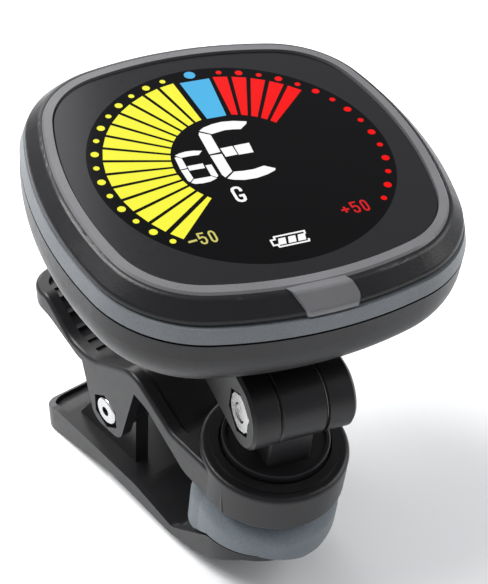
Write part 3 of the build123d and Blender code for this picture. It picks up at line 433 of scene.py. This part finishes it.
YELLOW, RED, BLUE, WHITE = (1.0, 0.98, 0.05), (1.0, 0.0, 0.0), (0.08, 0.50, 0.87), (1.0, 1.0, 1.0)
lit_yellow = lit("lit_yellow", YELLOW)
lit_red = lit("lit_red", RED)
lit_blue = lit("lit_blue", BLUE)
lit_white = lit("lit_white", WHITE, unevenness=0.04)
dim_yellow = lit("dim_yellow", (0.66, 0.62, 0.16))
dim_red = lit("dim_red", (0.72, 0.01, 0.015))
figures = (
    ("display_bars_flat", yellow_bars, lit_yellow),
    ("display_dots_flat", side_dots(-1), lit_yellow),
    ("display_bar_middle", middle_bar, lit_blue),
    ("display_dot_middle", lambda b: plate(b, disc_outline(polar(RING_R, 0), MIDDLE_DOT)), lit_blue),
    ("display_bars_sharp", red_bars, lit_red),
    ("display_dots_sharp", side_dots(1), lit_red),
    ("display_note_letter", letter_e, lit_white),
    ("display_string_number", string_number, lit_white),
    ("display_mode_letter", mode_letter, lit_white),
    ("display_flat_end_label", flat_end_label, dim_yellow),
    ("display_sharp_end_label", sharp_end_label, dim_red),
    ("display_battery_sign", battery_sign, lit_white),
)
for name, builder, material in figures:
    new_object(name, builder, material, "head")
window_black = gloss_black("window_black", (0.001, 0.001, 0.0012), 0.12, 0.12)
new_object("display_window", window_disc, window_black, "head")

# ---- materials of the CAD nodes ----
# plastics: colour, roughness, then the grain's size and depth in millimetres; metals: colour, roughness
clip_black = plastic("clip_black", (0.010, 0.010, 0.011), 0.36, 0.16, 0.012, specular=0.3)
shell_black = plastic("shell_black", (0.009, 0.009, 0.010), 0.40, 0.2, 0.018, specular=0.3)
looks = {
    "lower_arm": clip_black,
    "upper_arm": clip_black,
    "swivel_yoke": plastic("yoke_black", (0.010, 0.010, 0.011), 0.34, 0.16, 0.01, specular=0.3),
    "lower_pad": rubber("pad_grey", (0.105, 0.125, 0.14)),
    "pivot_pin": metal("rivet_chrome", (0.55, 0.55, 0.55), 0.2),
    "hinge_nut": metal("nut_chrome", (0.52, 0.52, 0.51), 0.24),
    "torsion_spring": metal("spring_steel", (0.36, 0.36, 0.37), 0.28),
    "swivel_screw": metal("zinc", (0.55, 0.55, 0.54), 0.3),
    "friction_washers": plastic("nylon", (0.62, 0.60, 0.54), 0.45, 0.3, 0.01),
    "back_cover": shell_black,
    "mid_band": plastic("band_grey", (0.115, 0.125, 0.135), 0.42, 0.22, 0.03, 0.25),
    "front_bezel": plastic("bezel_black", (0.007, 0.007, 0.008), 0.34, 0.18, 0.012, specular=0.3),
    "trim_ring": plastic("trim_grey", (0.11, 0.11, 0.115), 0.3, 0.1, 0.006),
    "display_lens": gloss_black("lens_black", (0.004, 0.004, 0.005), 0.16, 0.5),
    "lcd_panel": gloss_black("panel_glass", (0.01, 0.01, 0.012), 0.08, 0.5),
    "light_guide": plastic("guide_white", (0.72, 0.72, 0.70), 0.2, 0.5, 0.005, 0.05),
    "lcd_carrier": plastic("carrier_white", (0.65, 0.65, 0.62), 0.45, 0.3, 0.01, 0.05),
    "circuit_board": plastic("board_green", (0.01, 0.10, 0.03), 0.3, 0.4, 0.01, 0.2),
    "board_chips": plastic("chip_black", (0.02, 0.02, 0.02), 0.5, 0.15, 0.01),
    "battery_cell": metal("cell_foil", (0.60, 0.61, 0.63), 0.35),
    "piezo_sensor": metal("piezo_brass", (0.66, 0.48, 0.18), 0.3),
    "charging_socket": metal("socket_steel", (0.56, 0.56, 0.56), 0.25),
    "tactile_switch": plastic("switch_black", (0.03, 0.03, 0.03), 0.5, 0.15, 0.01),
    "power_button": plastic("button_black", (0.014, 0.014, 0.015), 0.45, 0.2, 0.02),
}
# these wear another node's material
shared = {
    "upper_pad": "lower_pad",
    "pivot_cap": "pivot_pin",
    "hinge_screw": "hinge_nut",
    "swivel_washer": "swivel_screw",
    "case_screws": "swivel_screw",
}
for name, node in frame["nodes"].items():
    material = looks.get(name) or looks[shared[name]]
    node.data.materials.clear()
    node.data.materials.append(material)

# ---- floor, light and camera: metres and watts ----
FLOOR_HALF = 1.5
FLOOR_PATCH_MM = 120.0
FLOOR_DARK, FLOOR_LIGHT = (0.86, 0.865, 0.87), (0.88, 0.885, 0.89)


def floor_builder(build):
    signs = [(-1, -1), (1, -1), (1, 1), (-1, 1)]
    build.faces.new([build.verts.new((x * FLOOR_HALF, y * FLOOR_HALF, 0)) for x, y in signs])


floor_look = Shader("floor_white").set(Roughness=0.6, Specular_IOR_Level=0.2)
floor_shade = floor_look.mix(floor_look.noise(FLOOR_PATCH_MM), FLOOR_DARK, FLOOR_LIGHT)
floor_look.wire(floor_shade, "Base Color")
floor = new_object("floor", floor_builder, floor_look.material)


def softbox(name, place, aim, wide, tall, power):
    """A rectangular lamp at a place, turned towards another."""
    data = bpy.data.lights.new(name, "AREA")
    data.shape = "RECTANGLE"
    data.size, data.size_y = wide, tall
    data.energy = power
    lamp = bpy.data.objects.new(name, data)
    lamp.location = place
    lamp.rotation_mode = "QUATERNION"
    lamp.rotation_quaternion = (Vector(aim) - Vector(place)).to_track_quat("-Z", "Y")
    bpy.context.scene.collection.objects.link(lamp)


# name, place from the part's middle, width, height, power; the sheen lamp stands about 20 degrees
# off the direction that the lens mirrors towards the camera
SOFTBOXES = (
    ("key", (-0.20, 0.22, 0.50), 0.35, 0.35, 5.5),
    ("fill", (0.5, -0.25, 0.35), 0.4, 0.4, 2.0),
    ("rim", (0.2, 0.55, 0.25), 0.5, 0.25, 1.2),
    ("sheen", (0.14, 0.40, 0.46), 0.26, 0.26, 0.35),
)
middle = (cad_box[0] + cad_box[1]) / 2
for name, offset, wide, tall, power in SOFTBOXES:
    softbox(name, middle + Vector(offset), middle, wide, tall, power)

SKY_COLOUR, SKY_STRENGTH = (0.95, 0.96, 1.0, 1), 0.45
world = bpy.data.worlds.new("studio")
world.use_nodes = True
world.node_tree.nodes["Background"].inputs["Color"].default_value = SKY_COLOUR
world.node_tree.nodes["Background"].inputs["Strength"].default_value = SKY_STRENGTH
bpy.context.scene.world = world

CAMERA_FROM_SWIVEL = Vector((-96.8, -111.85, 136.8)) * MM
CAMERA_AZIMUTH, CAMERA_ELEVATION = math.radians(39.1), math.radians(37.0)
# the focal length is given in pixels of the picture, whose longer side is its height
FOCAL_PX, LONG_SIDE_PX, SENSOR = 1404.95, 584, 36.0
CLIP_NEAR, CLIP_FAR = 0.01, 20.0
camera_data = bpy.data.cameras.new("camera")
camera_data.sensor_width = SENSOR
camera_data.lens = FOCAL_PX / LONG_SIDE_PX * SENSOR
camera_data.clip_start, camera_data.clip_end = CLIP_NEAR, CLIP_FAR
camera = bpy.data.objects.new("camera", camera_data)
camera.location = swivel + CAMERA_FROM_SWIVEL
forward = Vector((
    math.sin(CAMERA_AZIMUTH) * math.cos(CAMERA_ELEVATION),
    math.cos(CAMERA_AZIMUTH) * math.cos(CAMERA_ELEVATION),
    -math.sin(CAMERA_ELEVATION),
))
camera.rotation_mode = "QUATERNION"
camera.rotation_quaternion = forward.to_track_quat("-Z", "Y")
bpy.context.scene.collection.objects.link(camera)
bpy.context.scene.camera = camera
bpy.context.scene.view_settings.view_transform = "Standard"
